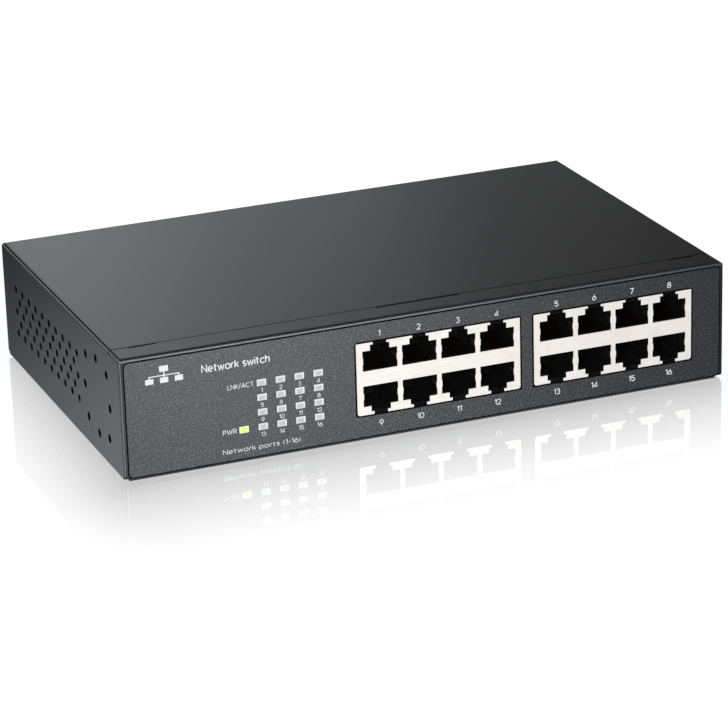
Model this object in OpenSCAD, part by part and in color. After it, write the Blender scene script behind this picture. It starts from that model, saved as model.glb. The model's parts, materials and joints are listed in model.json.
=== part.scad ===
// Desktop network switch with sixteen stacked jacks in a folded steel case.
// The origin is at the bottom centre, under the feet. X runs along the front,
// Y runs from the front to the rear, Z is up. Units are millimetres.

/* [Case] */
// Width of the case, side sheet to side sheet
case_w = 215; // [214:1:224]
// Depth of the case, jack shields to rear lip
case_d = 131.8; // [131:0.2:136]
// Height of the case without its feet
case_h = 41.2; // [40.6:0.1:44]
// Thickness of the folded sheet
sheet_t = 1; // [0.8:0.1:1.2]
// Outer radius of every bend
bend_r = 1.3; // [1.3:0.1:1.6]
// Depth of the return flange on top of the front panel
flange_d = 10.4; // [9:0.1:12]
// Depth of the small side skirts of that flange
skirt_h = 1.4; // [1.4:0.1:2]
// Gap between the flange and the top cover
seam_gap = 0.5; // [0.3:0.1:0.8]
// Height of the rear lip of the top cover
lip_h = 9; // [8:0.5:12]

/* [Front film] */
// Thickness of the film stuck on the front panel
film_t = 0.15; // [0.1:0.05:0.3]
// Margin of bare panel left around the film
film_margin = 1.2; // [0.8:0.1:2]
// Margin of bare panel below the film
film_margin_low = 0.4; // [0.3:0.1:2]
// Corner radius of the film
film_r = 1.7; // [1:0.1:3]

/* [Jacks] */
// Distance between neighbouring jacks in a row
port_pitch = 13.97; // [13.9:0.01:14.1]
// Number of jack columns in one block
block_cols = 4; // [4:1:4]
// Width of one jack block
block_w = 58.6; // [58.4:0.1:58.8]
// Height of one jack block
block_h = 25.1; // [25.1:0.1:25.4]
// Depth of one jack block
block_d = 26; // [24:0.5:30]
// Centre of the left block across the case
block_left_x = 2.4; // [2:0.1:3]
// Centre of the right block across the case
block_right_x = 66.05; // [65.5:0.05:67]
// Height of the block's underside above the case bottom
block_z = 8.3; // [8.1:0.1:8.5]
// Width of a jack opening at the plug body
port_w = 12.3; // [12:0.1:12.4]
// Angle of a relaxed contact wire to the jack floor
wire_angle = 17; // [14:1:18]
// Length of the free part of a contact wire
wire_len = 9.5; // [8:0.1:10]

/* [Lights] */
// Width of a light window
light_w = 3.3; // [3:0.1:3.6]
// Height of a light window
light_h = 2.3; // [2:0.1:2.5]
// Distance between neighbouring light columns
light_pitch_x = 6.55; // [6.2:0.05:6.8]
// Distance between neighbouring light rows
light_pitch_z = 5.1; // [4.9:0.05:5.3]

/* [Vents and bracket holes] */
// Diameter of a vent hole
vent_d = 2.7; // [2:0.1:3]
// Distance between holes in one vent row
vent_pitch_y = 7.8; // [7.4:0.1:8]
// Distance between vent rows
vent_pitch_z = 4.04; // [3.8:0.02:4.2]
// Diameter of a bracket hole
ear_d = 3; // [2.5:0.1:3.3]
// Radius of the circle of four bracket holes
ear_ring_r = 13; // [13:0.1:13.4]
// Spacing of the square of four bracket holes
ear_square = 22; // [21.6:0.1:22.4]

/* [Feet] */
// Height of the rubber feet below the case
foot_h = 0.8; // [0.6:0.1:3]
// Diameter of the rubber feet
foot_d = 12.7; // [10:0.1:14]

/* [Hidden] */
$fn = 48;
eps = 0.01;

// Main planes of the case
y_front = -66.5;
y_film = y_front + 0.05;
y_panel = y_film + film_t;
y_panel_in = y_panel + sheet_t;
y_rear = y_front + case_d;
lip_gap = 0.1;
y_back = y_rear - sheet_t - lip_gap;
z_bottom = foot_h;
z_floor = z_bottom + sheet_t;
z_top = z_bottom + case_h;
half_w = case_w / 2;
fit_gap = 0.15;
floor_half = half_w - sheet_t - fit_gap;
seam_y = y_film + flange_d;
corner_gap = 0.3;
cut_end_r = 0.4;
upstand_h = 3.6;

// The cover's front tongues and the flange notches over them
tongues = [[-101.1, 9.3], [-15.5, 29.5], [91.8, 9.3]];
tongue_reach = 7;
tongue_drop = 1.15;
notch_d = 0.7;

// Jack block
block_gap = 0.3;
shield_t = 0.3;
shield_front_t = 0.4;
y_shield = y_front;
z_block = z_bottom + block_z;
z_block_top = z_block + block_h;
corner_chamfer = 0.6;
port_step_w = 6.85;
port_key_w = 4.8;
upper_main = [15.3, 22.3];
upper_step = 24.3;
lower_main = [2.9, 10.1];
lower_step = 1.0;
cavity_in = 0.15;
cavity_out = 0.05;
key_notch_d = 1.8;
tab_t = 0.2;
tab_h = 2.2;
tab_d = 4.2;
cavity_d = 15.5;
pocket_w = 8.8;
pocket_d = 1.5;
pocket_y = [1.6, 14];
wire_w = 0.45;
wire_t = 0.35;
wire_pitch = 1.016;
wire_root_y = 3;
wire_root_in = 0.6;

// Lights
light_x0 = -59.9;
light_z0 = 10.6;
power_x = -66.5;
pipe_gap = 0.05;
pipe_leg_y0 = 5;
pipe_leg_step = 4;
led_h = 0.8;

// Vents and bracket holes
vent_rows = 5;
vent_first = 15;
vent_long = 10;
vent_top = 12.75;
ear_back = 25.6;
ear_z = 20.4;
collar_r = 2.1;
collar_l = 1.6;

// Main board
board_t = 1.6;
z_board = z_block;
z_under = z_board - board_t;
board_front = [[-82, -64.4], [102, -30]];
board_rear = [[-28, -32], [102, 57]];
board_posts = [[-78, -34], [-33, -60.5], [34.2, -36], [98.5, -60.5],
    [-24, 53], [98, 53], [98, 0], [-24, -6]];
post_r = 2.75;
post_bore_r = 1.25;
post_hole_r = 1.6;
screw_shank_r = 1.2;
screw_head_r = 2.7;
screw_head_h = 1.8;
screw_len = 5.2;

// Power supply
psu_lo = [-103, -26];
psu_hi = [-34, 34];
psu_posts = [[-99, -22], [-38, -22], [-99, 30], [-38, 30]];
psu_z = 8.4;
psu_under = psu_z - board_t;

// Mains inlet
inlet_x = -64;
inlet_z = 21;
inlet_w = 27.8;
inlet_h = 19.8;
inlet_flange = [48, 22.5, 2];
inlet_pitch = 40;
inlet_cav = [24.4, 16.4, 15.5];
inlet_body_d = 18;
inlet_chamfer = 4.5;
blade = [2, 4];
blade_len = 13;
tab = [6.3, 0.8, 9];
pin_pos = [[-7, -2], [7, -2], [0, 2]];
inlet_hole_r = 1.7;

// Rear screws
rear_screw_x = [-96, 8, 96];
rear_screw_z = z_top - 5.2;
rear_shank_r = 1.45;
rear_bore_r = 1.5;
rear_head_r = 2.8;
rear_head_h = 1.2;

// Ground point on the floor
ground_at = [-92, 49];
ground_stud_r = 1.95;
ring_hole_r = 2.05;

feet_at = [[-93, -52], [93, -52], [-93, 51], [93, 51]];

function port_col(n) = (n - 1) % 8;
function port_upper(n) = n <= 8;
function port_x(n) = let (c = port_col(n))
    (c < block_cols ? block_left_x : block_right_x)
    + (c % block_cols - (block_cols - 1) / 2) * port_pitch;

function mid(v) = (v[0] + v[1]) / 2;

module box(lo, hi) {
    translate(lo) cube(hi - lo);
}

// A rectangle with round corners, from true arcs
module round_rect(lo, hi, r) {
    translate([lo[0] + r, lo[1]])
        square([hi[0] - lo[0] - 2 * r, hi[1] - lo[1]]);
    translate([lo[0], lo[1] + r])
        square([hi[0] - lo[0], hi[1] - lo[1] - 2 * r]);
    for (x = [lo[0] + r, hi[0] - r])
        for (y = [lo[1] + r, hi[1] - r])
            translate([x, y]) circle(r);
}

// Extrudes an (x, z) outline from y0 to y1
module slab_y(y0, y1) {
    translate([0, y1, 0]) rotate([90, 0, 0])
        linear_extrude(y1 - y0) children();
}

// Extrudes a (y, z) outline from x0 to x1
module slab_x(x0, x1) {
    translate([x0, 0, 0]) rotate([90, 0, 90])
        linear_extrude(x1 - x0) children();
}

// A cylinder along X, Y or Z that starts at a point
module rod_x(p, r, l) {
    translate(p) rotate([0, 90, 0]) cylinder(r = r, h = l);
}

module rod_y(p, r, l) {
    translate(p) rotate([-90, 0, 0]) cylinder(r = r, h = l);
}

module rod_z(p, r, l) {
    translate(p) cylinder(r = r, h = l);
}

// The outer skin of the case, rounded along every bend, with the cut ends
// of the front panel broken by a small radius
module case_block() {
    intersection() {
        slab_y(y_panel, y_rear)
            round_rect([-half_w, z_bottom], [half_w, z_top], bend_r);
        slab_x(-half_w, half_w)
            round_rect([y_panel, z_bottom], [y_rear, z_top], bend_r);
        translate([0, 0, z_bottom - 1]) linear_extrude(case_h + 2)
            round_rect([-half_w, y_panel], [half_w, y_rear + 1], cut_end_r);
    }
}

module light_positions() {
    for (c = [0:3])
        for (r = [0:3])
            translate([light_x0 + c * light_pitch_x, 0,
                z_bottom + light_z0 + r * light_pitch_z])
                children();
}

// The (x, z) holes that the front panel and the film share
module front_windows(grow) {
    for (bx = [block_left_x, block_right_x])
        translate([bx - block_w / 2 - block_gap, z_block - block_gap])
            square([block_w + 2 * block_gap, block_h + 2 * block_gap]);
    for (c = [0:3])
        for (r = [0:3])
            translate([light_x0 + c * light_pitch_x,
                z_bottom + light_z0 + r * light_pitch_z])
                square([light_w + grow, light_h + grow], center = true);
    translate([power_x, z_bottom + light_z0])
        square([light_w + grow, light_h + grow], center = true);
}

module inlet_outline(w, h) {
    polygon([[-w / 2, -h / 2], [w / 2, -h / 2],
        [w / 2, h / 2 - inlet_chamfer], [w / 2 - inlet_chamfer, h / 2],
        [-w / 2 + inlet_chamfer, h / 2], [-w / 2, h / 2 - inlet_chamfer]]);
}

// Floor, front panel with its return flange, rear panel and low side upstands
module chassis_base() {
    color("#2c2e31") difference() {
        union() {
            difference() {
                case_block();
                box([-half_w - 1, y_panel_in, z_floor],
                    [half_w + 1, y_rear + 1, z_top - sheet_t]);
                box([-half_w - 1, seam_y, z_floor - eps],
                    [half_w + 1, y_rear + 1, z_top + 1]);
                box([-half_w - 1, y_panel_in, z_bottom - 1],
                    [-floor_half, y_rear + 1, z_top - sheet_t]);
                box([floor_half, y_panel_in, z_bottom - 1],
                    [half_w + 1, y_rear + 1, z_top - sheet_t]);
                box([-half_w - 1, y_back, z_bottom - 1],
                    [half_w + 1, y_rear + 1, z_top + 1]);
                for (t = tongues)
                    box([t[0], seam_y - notch_d, z_top - 2],
                        [t[0] + t[1], seam_y + 1, z_top + 1]);
            }
            intersection() {
                case_block();
                for (s = [-1, 1])
                    box([s > 0 ? half_w - sheet_t : -half_w,
                            y_panel_in - eps, z_top - skirt_h],
                        [s > 0 ? half_w : -half_w + sheet_t,
                            seam_y, z_top - sheet_t + eps]);
            }
            box([-floor_half, y_back - sheet_t, z_floor - eps],
                [floor_half, y_back, z_top - sheet_t - 0.3]);
            for (s = [-1, 1])
                box([s > 0 ? floor_half - sheet_t : -floor_half,
                        y_panel_in + 1, z_floor - eps],
                    [s > 0 ? floor_half : -floor_half + sheet_t,
                        y_back - 2, z_floor + upstand_h]);
        }
        slab_y(y_panel - 1, y_panel_in + 0.5) front_windows(0.2);
        translate([inlet_x, 0, inlet_z])
            slab_y(y_back - sheet_t - 1, y_back + 1)
                inlet_outline(inlet_w + 0.4, inlet_h + 0.4);
        for (s = [-1, 1])
            rod_y([inlet_x + s * inlet_pitch / 2,
                y_back - sheet_t - 1, inlet_z], rear_bore_r, sheet_t + 2);
        for (x = rear_screw_x)
            rod_y([x, y_back - sheet_t - 1, rear_screw_z],
                rear_bore_r, sheet_t + 2);
    }
}

module vent_cutters() {
    z0 = z_top - vent_top;
    for (r = [0:vent_rows - 1]) {
        n = vent_long - r % 2;
        for (i = [0:n - 1])
            rod_x([-half_w - 1,
                y_rear - vent_first - (i + (r % 2) / 2) * vent_pitch_y,
                z0 - r * vent_pitch_z], vent_d / 2, case_w + 2);
    }
}

module ear_positions(x) {
    for (a = [0:90:270])
        translate([x, y_film + ear_back + ear_ring_r * cos(a),
            z_bottom + ear_z + ear_ring_r * sin(a)]) children();
    for (sy = [-1, 1])
        for (sz = [-1, 1])
            translate([x, y_film + ear_back + sy * ear_square / 2,
                z_bottom + ear_z + sz * ear_square / 2]) children();
}

// Top and both sides in one folded sheet, with a lip over the rear panel
module top_cover() {
    color("#2f3134") difference() {
        union() {
            difference() {
                case_block();
                box([-half_w + sheet_t, y_panel - 1, z_bottom - 1],
                    [half_w - sheet_t, y_rear - sheet_t, z_top - sheet_t]);
                box([-half_w - 1, y_panel - 1, z_top - skirt_h - fit_gap],
                    [half_w + 1, seam_y + seam_gap, z_top + 1]);
                box([-half_w - 1, y_panel - 1, z_bottom - 1],
                    [half_w + 1, y_panel_in + corner_gap, z_top + 1]);
                box([-half_w + sheet_t, y_rear - sheet_t - 1, z_bottom - 1],
                    [half_w - sheet_t, y_rear + 1, z_top - lip_h]);
            }
            for (s = [-1, 1])
                box([s > 0 ? half_w - sheet_t : -half_w,
                        y_panel_in + corner_gap, z_bottom],
                    [s > 0 ? half_w : -half_w + sheet_t,
                        y_rear - bend_r, z_bottom + 2 * bend_r]);
            for (t = tongues) {
                box([t[0] + 0.3, seam_y - tongue_reach,
                        z_top - sheet_t - tongue_drop],
                    [t[0] + t[1] - 0.3, seam_y + seam_gap + 1.2,
                        z_top - sheet_t - 0.15]);
                box([t[0] + 0.3, seam_y + seam_gap,
                        z_top - sheet_t - tongue_drop],
                    [t[0] + t[1] - 0.3, seam_y + seam_gap + 1.2,
                        z_top - sheet_t + eps]);
            }
            ear_positions(-half_w + sheet_t - eps)
                rod_x([0, 0, 0], collar_r, collar_l);
            ear_positions(half_w - sheet_t - collar_l + eps)
                rod_x([0, 0, 0], collar_r, collar_l);
        }
        vent_cutters();
        ear_positions(-half_w - 1) rod_x([0, 0, 0], ear_d / 2, case_w + 2);
        for (x = rear_screw_x)
            rod_y([x, y_rear - sheet_t - 1, rear_screw_z], 1.7, sheet_t + 2);
    }
}

// Printed film on the front panel
module front_overlay() {
    color("#3a3c3f") slab_y(y_film, y_panel) difference() {
        round_rect([-half_w + film_margin, z_bottom + film_margin_low],
            [half_w - film_margin, z_top - film_margin], film_r);
        front_windows(0);
    }
}

// The (x, z) outline of one jack opening, from the block's underside
module port_outline(upper, dw) {
    w = port_w - dw;
    sw = port_step_w - dw;
    kw = port_key_w - dw;
    if (upper) {
        translate([-w / 2, upper_main[0]])
            square([w, upper_main[1] - upper_main[0]]);
        translate([-sw / 2, upper_main[1] - eps])
            square([sw, upper_step - upper_main[1] + eps]);
        translate([-kw / 2, upper_step - eps])
            square([kw, block_h - upper_step + 1]);
    } else {
        translate([-w / 2, lower_main[0]])
            square([w, lower_main[1] - lower_main[0]]);
        translate([-sw / 2, lower_step])
            square([sw, lower_main[0] - lower_step + eps]);
        translate([-kw / 2, -1])
            square([kw, lower_step + 1 + eps]);
    }
}

module block_ports(dw) {
    for (c = [0:block_cols - 1])
        translate([(c - (block_cols - 1) / 2) * port_pitch, 0]) {
            port_outline(true, dw);
            port_outline(false, dw);
        }
}

// The tin-plated shield: a front plate and the walls folded back from it
module jack_shield(bx) {
    color("#efe9dc") translate([bx, 0, z_block]) {
        slab_y(y_shield, y_shield + shield_front_t) difference() {
            polygon([[-block_w / 2 + corner_chamfer, 0],
                [block_w / 2 - corner_chamfer, 0],
                [block_w / 2, corner_chamfer], [block_w / 2, block_h],
                [-block_w / 2, block_h], [-block_w / 2, corner_chamfer]]);
            block_ports(0);
        }
        difference() {
            box([-block_w / 2, y_shield + shield_front_t - eps, corner_chamfer],
                [block_w / 2, y_shield + block_d, block_h]);
            box([-block_w / 2 + shield_t, y_shield, -1],
                [block_w / 2 - shield_t, y_shield + block_d - shield_t,
                    block_h - shield_t]);
            for (c = [0:block_cols - 1]) {
                x = (c - (block_cols - 1) / 2) * port_pitch;
                box([x - port_key_w / 2, y_shield, block_h - 1],
                    [x + port_key_w / 2, y_shield + key_notch_d,
                        block_h + 1]);
            }
        }
        // Ground tabs folded in at both sides of each opening
        for (c = [0:block_cols - 1])
            for (z = [mid(upper_main), mid(lower_main)])
                for (s = [-1, 1])
                    translate([(c - (block_cols - 1) / 2) * port_pitch
                        + s * (port_w - tab_t) / 2, y_shield, z - tab_h / 2])
                        translate([-tab_t / 2, 0, 0])
                            cube([tab_t, tab_d, tab_h]);
    }
}

module jack_shield_left() {
    jack_shield(block_left_x);
}

module jack_shield_right() {
    jack_shield(block_right_x);
}

// The moulded block behind the shield, with eight plug cavities
module jack_housing(bx) {
    hw = block_w / 2 - shield_t - 0.05;
    y0 = y_shield + shield_front_t;
    y1 = y_shield + block_d - shield_t - 0.05;
    z1 = block_h - shield_t - 0.05;
    color("#141414") translate([bx, 0, z_block]) difference() {
        box([-hw, y0, 0], [hw, y1, z1]);
        for (c = [0:block_cols - 1]) {
            x = (c - (block_cols - 1) / 2) * port_pitch;
            w = port_w / 2 + cavity_out;
            s = port_step_w / 2 + cavity_out;
            yc = y_shield + cavity_d;
            box([x - w, y0 - 1, upper_main[0] + cavity_in],
                [x + w, yc, upper_main[1] - cavity_in]);
            box([x - s, y0 - 1, upper_main[1] - 1],
                [x + s, yc, upper_step - cavity_in]);
            box([x - w, y0 - 1, lower_main[0] + cavity_in],
                [x + w, yc, lower_main[1] - cavity_in]);
            box([x - s, y0 - 1, lower_step + cavity_in],
                [x + s, yc, lower_main[0] + 1]);
            box([x - pocket_w / 2, y_shield + pocket_y[0],
                    upper_main[0] + cavity_in - pocket_d],
                [x + pocket_w / 2, y_shield + pocket_y[1],
                    upper_main[0] + 1]);
            box([x - pocket_w / 2, y_shield + pocket_y[0],
                    lower_main[1] - 1],
                [x + pocket_w / 2, y_shield + pocket_y[1],
                    lower_main[1] - cavity_in + pocket_d]);
        }
    }
}

module jack_housing_left() {
    jack_housing(block_left_x);
}

module jack_housing_right() {
    jack_housing(block_right_x);
}

// Eight spring wires of one jack, hinged at their front root
module port_contacts(n) {
    up = port_upper(n) ? 1 : -1;
    z = z_block + (port_upper(n)
        ? upper_main[0] + cavity_in - wire_root_in
        : lower_main[1] - cavity_in + wire_root_in);
    color("#c9a349") translate([port_x(n), y_shield + wire_root_y, z])
        rotate([up * wire_angle, 0, 0])
            for (i = [0:7])
                translate([(i - 3.5) * wire_pitch - wire_w / 2, 0,
                    -wire_t / 2])
                    cube([wire_w, wire_len, wire_t]);
}

// One bent light guide, from a window back and down to its light source
module light_pipe(x, z, leg_y) {
    w = light_w - 2 * pipe_gap;
    h = light_h - 2 * pipe_gap;
    box([x - w / 2, y_film, z - h / 2], [x + w / 2, leg_y + h, z + h / 2]);
    box([x - w / 2, leg_y, z_board + led_h + 0.1],
        [x + w / 2, leg_y + h, z]);
}

function leg_at(r) = y_film + pipe_leg_y0 + r * pipe_leg_step;

module link_light_pipes() {
    color("#e6e8ea") for (c = [0:3])
        for (r = [0:3])
            light_pipe(light_x0 + c * light_pitch_x,
                z_bottom + light_z0 + r * light_pitch_z, leg_at(r));
}

module power_light_pipe() {
    color("#c8e05a") light_pipe(power_x, z_bottom + light_z0, leg_at(0));
}

module led_chips() {
    color("#f2f0d8") {
        for (c = [0:3])
            for (r = [0:3])
                translate([light_x0 + c * light_pitch_x,
                    leg_at(r) + light_h / 2, z_board + led_h / 2])
                    cube([1.6, 0.8, led_h], center = true);
        translate([power_x, leg_at(0) + light_h / 2, z_board + led_h / 2])
            cube([1.6, 0.8, led_h], center = true);
    }
}

module main_board() {
    color("#1d5a34") difference() {
        translate([0, 0, z_under]) linear_extrude(board_t) {
            translate(board_front[0]) square(board_front[1] - board_front[0]);
            translate(board_rear[0]) square(board_rear[1] - board_rear[0]);
        }
        for (p = board_posts)
            rod_z([p[0], p[1], z_under - 1], post_hole_r, board_t + 2);
    }
}

module posts(at, top) {
    for (p = at)
        difference() {
            rod_z([p[0], p[1], z_floor], post_r, top - z_floor);
            rod_z([p[0], p[1], z_floor + 1], post_bore_r, top);
        }
}

// Round posts that carry both boards
module board_standoffs() {
    color("#b9bcc0") {
        posts(board_posts, z_under);
        posts(psu_posts, psu_under);
    }
}

module pan_screw(p, top) {
    rod_z([p[0], p[1], top], screw_head_r, screw_head_h);
    rod_z([p[0], p[1], top - screw_len], screw_shank_r, screw_len + eps);
}

module board_screws() {
    color("#9ea2a6") {
        for (p = board_posts) pan_screw(p, z_board);
        for (p = psu_posts) pan_screw(p, psu_z);
    }
}

module chip(x, y, s, h) {
    translate([x - s[0] / 2, y - s[1] / 2, z_board]) cube([s[0], s[1], h]);
}

module switch_chip() {
    color("#17181a") chip(36, 22, [27, 27], 2);
}

// Finned block stuck on the switch chip
module heatsink() {
    fins = 11;
    side = 38;
    fin_t = 1.2;
    color("#8f9397") translate([36 - side / 2, 22 - side / 2, z_board + 2]) {
        cube([side, side, 3]);
        for (i = [0:fins - 1])
            translate([i * (side - fin_t) / (fins - 1), 0, 3 - eps])
                cube([fin_t, side, 12]);
    }
}

module phy_chips() {
    color("#1b1c1e") {
        chip(2.4, -8, [20, 20], 1.6);
        chip(66, -8, [20, 20], 1.6);
    }
}

// One transformer module behind each jack column
module magnetics() {
    color("#111214") for (n = [1:8])
        chip(port_x(n), -27.6, [12.4, 9.6], 6);
}

module flash_chip() {
    color("#1b1c1e") chip(4, 30, [5.3, 5.2], 1.8);
}

module crystal() {
    color("#c2c5c8") translate([8, 14, z_board]) {
        cylinder(r = 2.3, h = 3.6);
        translate([6.4, 0, 0]) cylinder(r = 2.3, h = 3.6);
        translate([0, -2.3, 0]) cube([6.4, 4.6, 3.6]);
    }
}

module can(p, z, r, h) {
    translate([p[0], p[1], z]) {
        cylinder(r = r, h = h - 0.6);
        translate([0, 0, h - 0.6 - eps]) cylinder(r = r - 0.5, h = 0.6);
    }
}

module board_capacitors() {
    color("#22304a") {
        for (i = [0:3]) can([-16 + i * 9, 46], z_board, 3.15, 8);
        for (i = [0:2]) can([66 + i * 9, 46], z_board, 3.15, 8);
        can([74, 28], z_board, 4, 11);
        can([84, 28], z_board, 4, 11);
    }
}

module dc_socket() {
    color("#e8e4d8") chip(-21, 16, [7, 12], 8);
}

module psu_board() {
    color("#9a7440") difference() {
        box([psu_lo[0], psu_lo[1], psu_under], [psu_hi[0], psu_hi[1], psu_z]);
        for (p = psu_posts)
            rod_z([p[0], p[1], psu_under - 1], post_hole_r, board_t + 2);
    }
}

// Clear sheet on the floor under the supply board
module psu_insulator() {
    color("#4a4a4a") difference() {
        box([psu_lo[0] - 0.5, psu_lo[1] - 1, z_floor],
            [psu_hi[0] + 1, psu_hi[1] + 1, z_floor + 0.3]);
        for (p = psu_posts)
            rod_z([p[0], p[1], z_floor - 1], post_r + 0.4, 3);
    }
}

// Ferrite core, bobbin flanges and taped winding
module psu_transformer() {
    color("#d8b53a") translate([-62, -4, psu_z]) {
        translate([-11, -9, 2]) cube([22, 18, 15]);
        translate([-14, -5, 0]) cube([28, 10, 20]);
        translate([-11, -12, 0]) cube([22, 3 + eps, 4]);
        translate([-11, 9 - eps, 0]) cube([22, 3, 4]);
    }
}

module psu_bulk_capacitor() {
    color("#20283c") can([-88, -8], psu_z, 9, 25);
}

module psu_output_capacitors() {
    color("#20283c") {
        can([-41.5, -8], psu_z, 5, 18);
        can([-41.5, 4], psu_z, 5, 18);
    }
}

// Ring choke standing on the mains side
module psu_choke() {
    color("#a5622a") translate([-57, 23, psu_z + 9])
        rotate([0, 90, 0]) difference() {
            cylinder(r = 8.5, h = 8, center = true);
            cylinder(r = 3.5, h = 9, center = true);
        }
}

module psu_fuse() {
    color("#cfd3d2") {
        rod_x([-90, 22, psu_z + 3], 2.6, 5);
        rod_x([-85 - eps, 22, psu_z + 3], 2.35, 10 + 2 * eps);
        rod_x([-75, 22, psu_z + 3], 2.6, 5);
    }
}

// Upright plate with the switching transistor clamped on
module psu_heatsink() {
    color("#a9adb0") {
        box([-100, 6, psu_z], [-78, 7.6, psu_z + 22]);
        box([-94, 7.6 - eps, psu_z + 4], [-84, 12, psu_z + 19]);
    }
}

module psu_ac_socket() {
    color("#eceae2") box([-76, 27, psu_z], [-64.5, 33.5, psu_z + 8]);
}

// Mains inlet moulding with its flange outside the rear panel
module ac_inlet() {
    y1 = y_back;
    color("#111111") translate([inlet_x, 0, inlet_z]) difference() {
        union() {
            slab_y(y1, y1 + inlet_flange[2])
                round_rect([-inlet_flange[0] / 2, -inlet_flange[1] / 2],
                    [inlet_flange[0] / 2, inlet_flange[1] / 2], 3);
            slab_y(y1 - inlet_body_d, y1 + eps) inlet_outline(inlet_w, inlet_h);
        }
        slab_y(y1 + inlet_flange[2] - inlet_cav[2], y1 + inlet_flange[2] + 1)
            inlet_outline(inlet_cav[0], inlet_cav[1]);
        for (s = [-1, 1])
            rod_y([s * inlet_pitch / 2, y1 - 1, 0], inlet_hole_r, 5);
        for (p = pin_pos)
            translate([p[0], 0, p[1]])
                box([-blade[0] / 2, y1 - inlet_body_d - 1, -blade[1] / 2],
                    [blade[0] / 2, y1, blade[1] / 2]);
    }
}

module inlet_pins() {
    y_tail = y_back - inlet_body_d;
    y_head = y_back + inlet_flange[2] - inlet_cav[2] + blade_len;
    color("#c7c9c4") for (p = pin_pos)
        translate([inlet_x + p[0], 0, inlet_z + p[1]]) {
            box([-blade[0] / 2, y_tail - eps, -blade[1] / 2],
                [blade[0] / 2, y_head, blade[1] / 2]);
            box([-tab[1] / 2, y_tail - tab[2], -tab[0] / 2],
                [tab[1] / 2, y_tail, tab[0] / 2]);
        }
}

module inlet_screws() {
    y_seat = y_back + inlet_flange[2];
    color("#aeb1b3") for (s = [-1, 1])
        translate([inlet_x + s * inlet_pitch / 2, 0, inlet_z])
            difference() {
                union() {
                    rod_y([0, y_seat - 6.5, 0], rear_shank_r, 6.5 + eps);
                    rod_y([0, y_seat, 0], rear_head_r - 0.2, 0.3);
                }
                box([-0.4, y_seat + 0.1, -1.6], [0.4, y_seat + 1, 1.6]);
                box([-1.6, y_seat + 0.1, -0.4], [1.6, y_seat + 1, 0.4]);
            }
}

// Smooth points through the corners of a hand-set route
function spline(p, i, t) = let (
    a = p[max(i - 1, 0)], b = p[i], c = p[i + 1],
    d = p[min(i + 2, len(p) - 1)])
    0.5 * (2 * b + (c - a) * t + (2 * a - 5 * b + 4 * c - d) * t * t
        + (3 * b - a - 3 * c + d) * t * t * t);
function smooth(p, k) = [for (i = [0:len(p) - 2])
    for (j = [0:k - 1]) spline(p, i, j / k), p[len(p) - 1]];
function unit(v) = v / norm(v);
function ring(p, i, r, m) = let (
    n = len(p) - 1,
    t = unit(p[min(i + 1, n)] - p[max(i - 1, 0)]),
    s = unit(cross([0, 0, 1], t)),
    u = cross(t, s))
    [for (a = [0:m - 1])
        p[i] + r * (cos(a * 360 / m) * s + sin(a * 360 / m) * u)];

// A round wire along a route
module wire(route, r) {
    m = 8;
    p = smooth(route, 3);
    n = len(p);
    polyhedron(
        points = [for (i = [0:n - 1]) each ring(p, i, r, m)],
        faces = concat(
            [[for (a = [0:m - 1]) a]],
            [for (i = [0:n - 2]) for (a = [0:m - 1])
                [i * m + a, (i + 1) * m + a,
                    (i + 1) * m + (a + 1) % m, i * m + (a + 1) % m]],
            [[for (a = [m - 1:-1:0]) (n - 1) * m + a]]));
}

live_route = [[-71, 37, 19], [-71, 34, 18.8], [-72, 31.5, 18.2],
    [-73, 28.6, 17.7]];
neutral_route = [[-57, 37, 19], [-57.4, 35.4, 19], [-60, 34.2, 18.8],
    [-65, 32, 18.2], [-67, 29, 17.7]];
earth_route = [[-64, 37, 23], [-65, 35.4, 23.4], [-71, 35.2, 24.6],
    [-79, 37, 20], [-85, 40.5, 10], [-87, 44, 4]];
dc_routes = [for (i = [0:3]) [[-37, 12 + 2.5 * i, 13],
    [-34.5, 12 + 2.5 * i, 15.5], [-29.5, 12 + 2.5 * i, 18.6],
    [-24, 12 + 2.5 * i, 17.9]]];

module ac_wires() {
    color("#5d3a22") {
        wire(live_route, 1.1);
        wire(neutral_route, 1.1);
    }
}

module ground_wire() {
    color("#5f9a2e") wire(earth_route, 1.1);
}

module ring_terminal() {
    color("#c9ccd0") translate([ground_at[0], ground_at[1], z_floor])
        difference() {
            union() {
                cylinder(r = 4, h = 0.8);
                rotate([0, 0, -43]) translate([0, -1.6, 0])
                    cube([8.6, 3.2, 0.8]);
            }
            translate([0, 0, -1]) cylinder(r = ring_hole_r, h = 3);
        }
}

// Pressed-in stud with its hexagon nut
module ground_nut() {
    color("#b5b8bb") translate([ground_at[0], ground_at[1], z_floor]) {
        cylinder(r = ground_stud_r, h = 8);
        translate([0, 0, 0.8]) cylinder(r = 4, h = 3.2, $fn = 6);
    }
}

module dc_cable() {
    color("#7a1f1f") for (r = dc_routes) wire(r, 0.8);
}

module cover_screws() {
    color("#33363a") for (x = rear_screw_x)
        translate([x, 0, rear_screw_z]) difference() {
            union() {
                rod_y([0, y_rear - 5, 0], rear_shank_r, 5 + eps);
                rod_y([0, y_rear, 0], rear_head_r, rear_head_h);
            }
            box([-0.4, y_rear + 0.4, -1.7], [0.4, y_rear + 2, 1.7]);
            box([-1.7, y_rear + 0.4, -0.4], [1.7, y_rear + 2, 0.4]);
        }
}

module rubber_feet() {
    color("#1a1a1a") for (p = feet_at)
        rod_z([p[0], p[1], 0], foot_d / 2, foot_h);
}

// Blank label under the case
module rating_label() {
    color("#d9d9d6") box([-38, -16, z_bottom - 0.1], [38, 24, z_bottom]);
}

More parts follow.
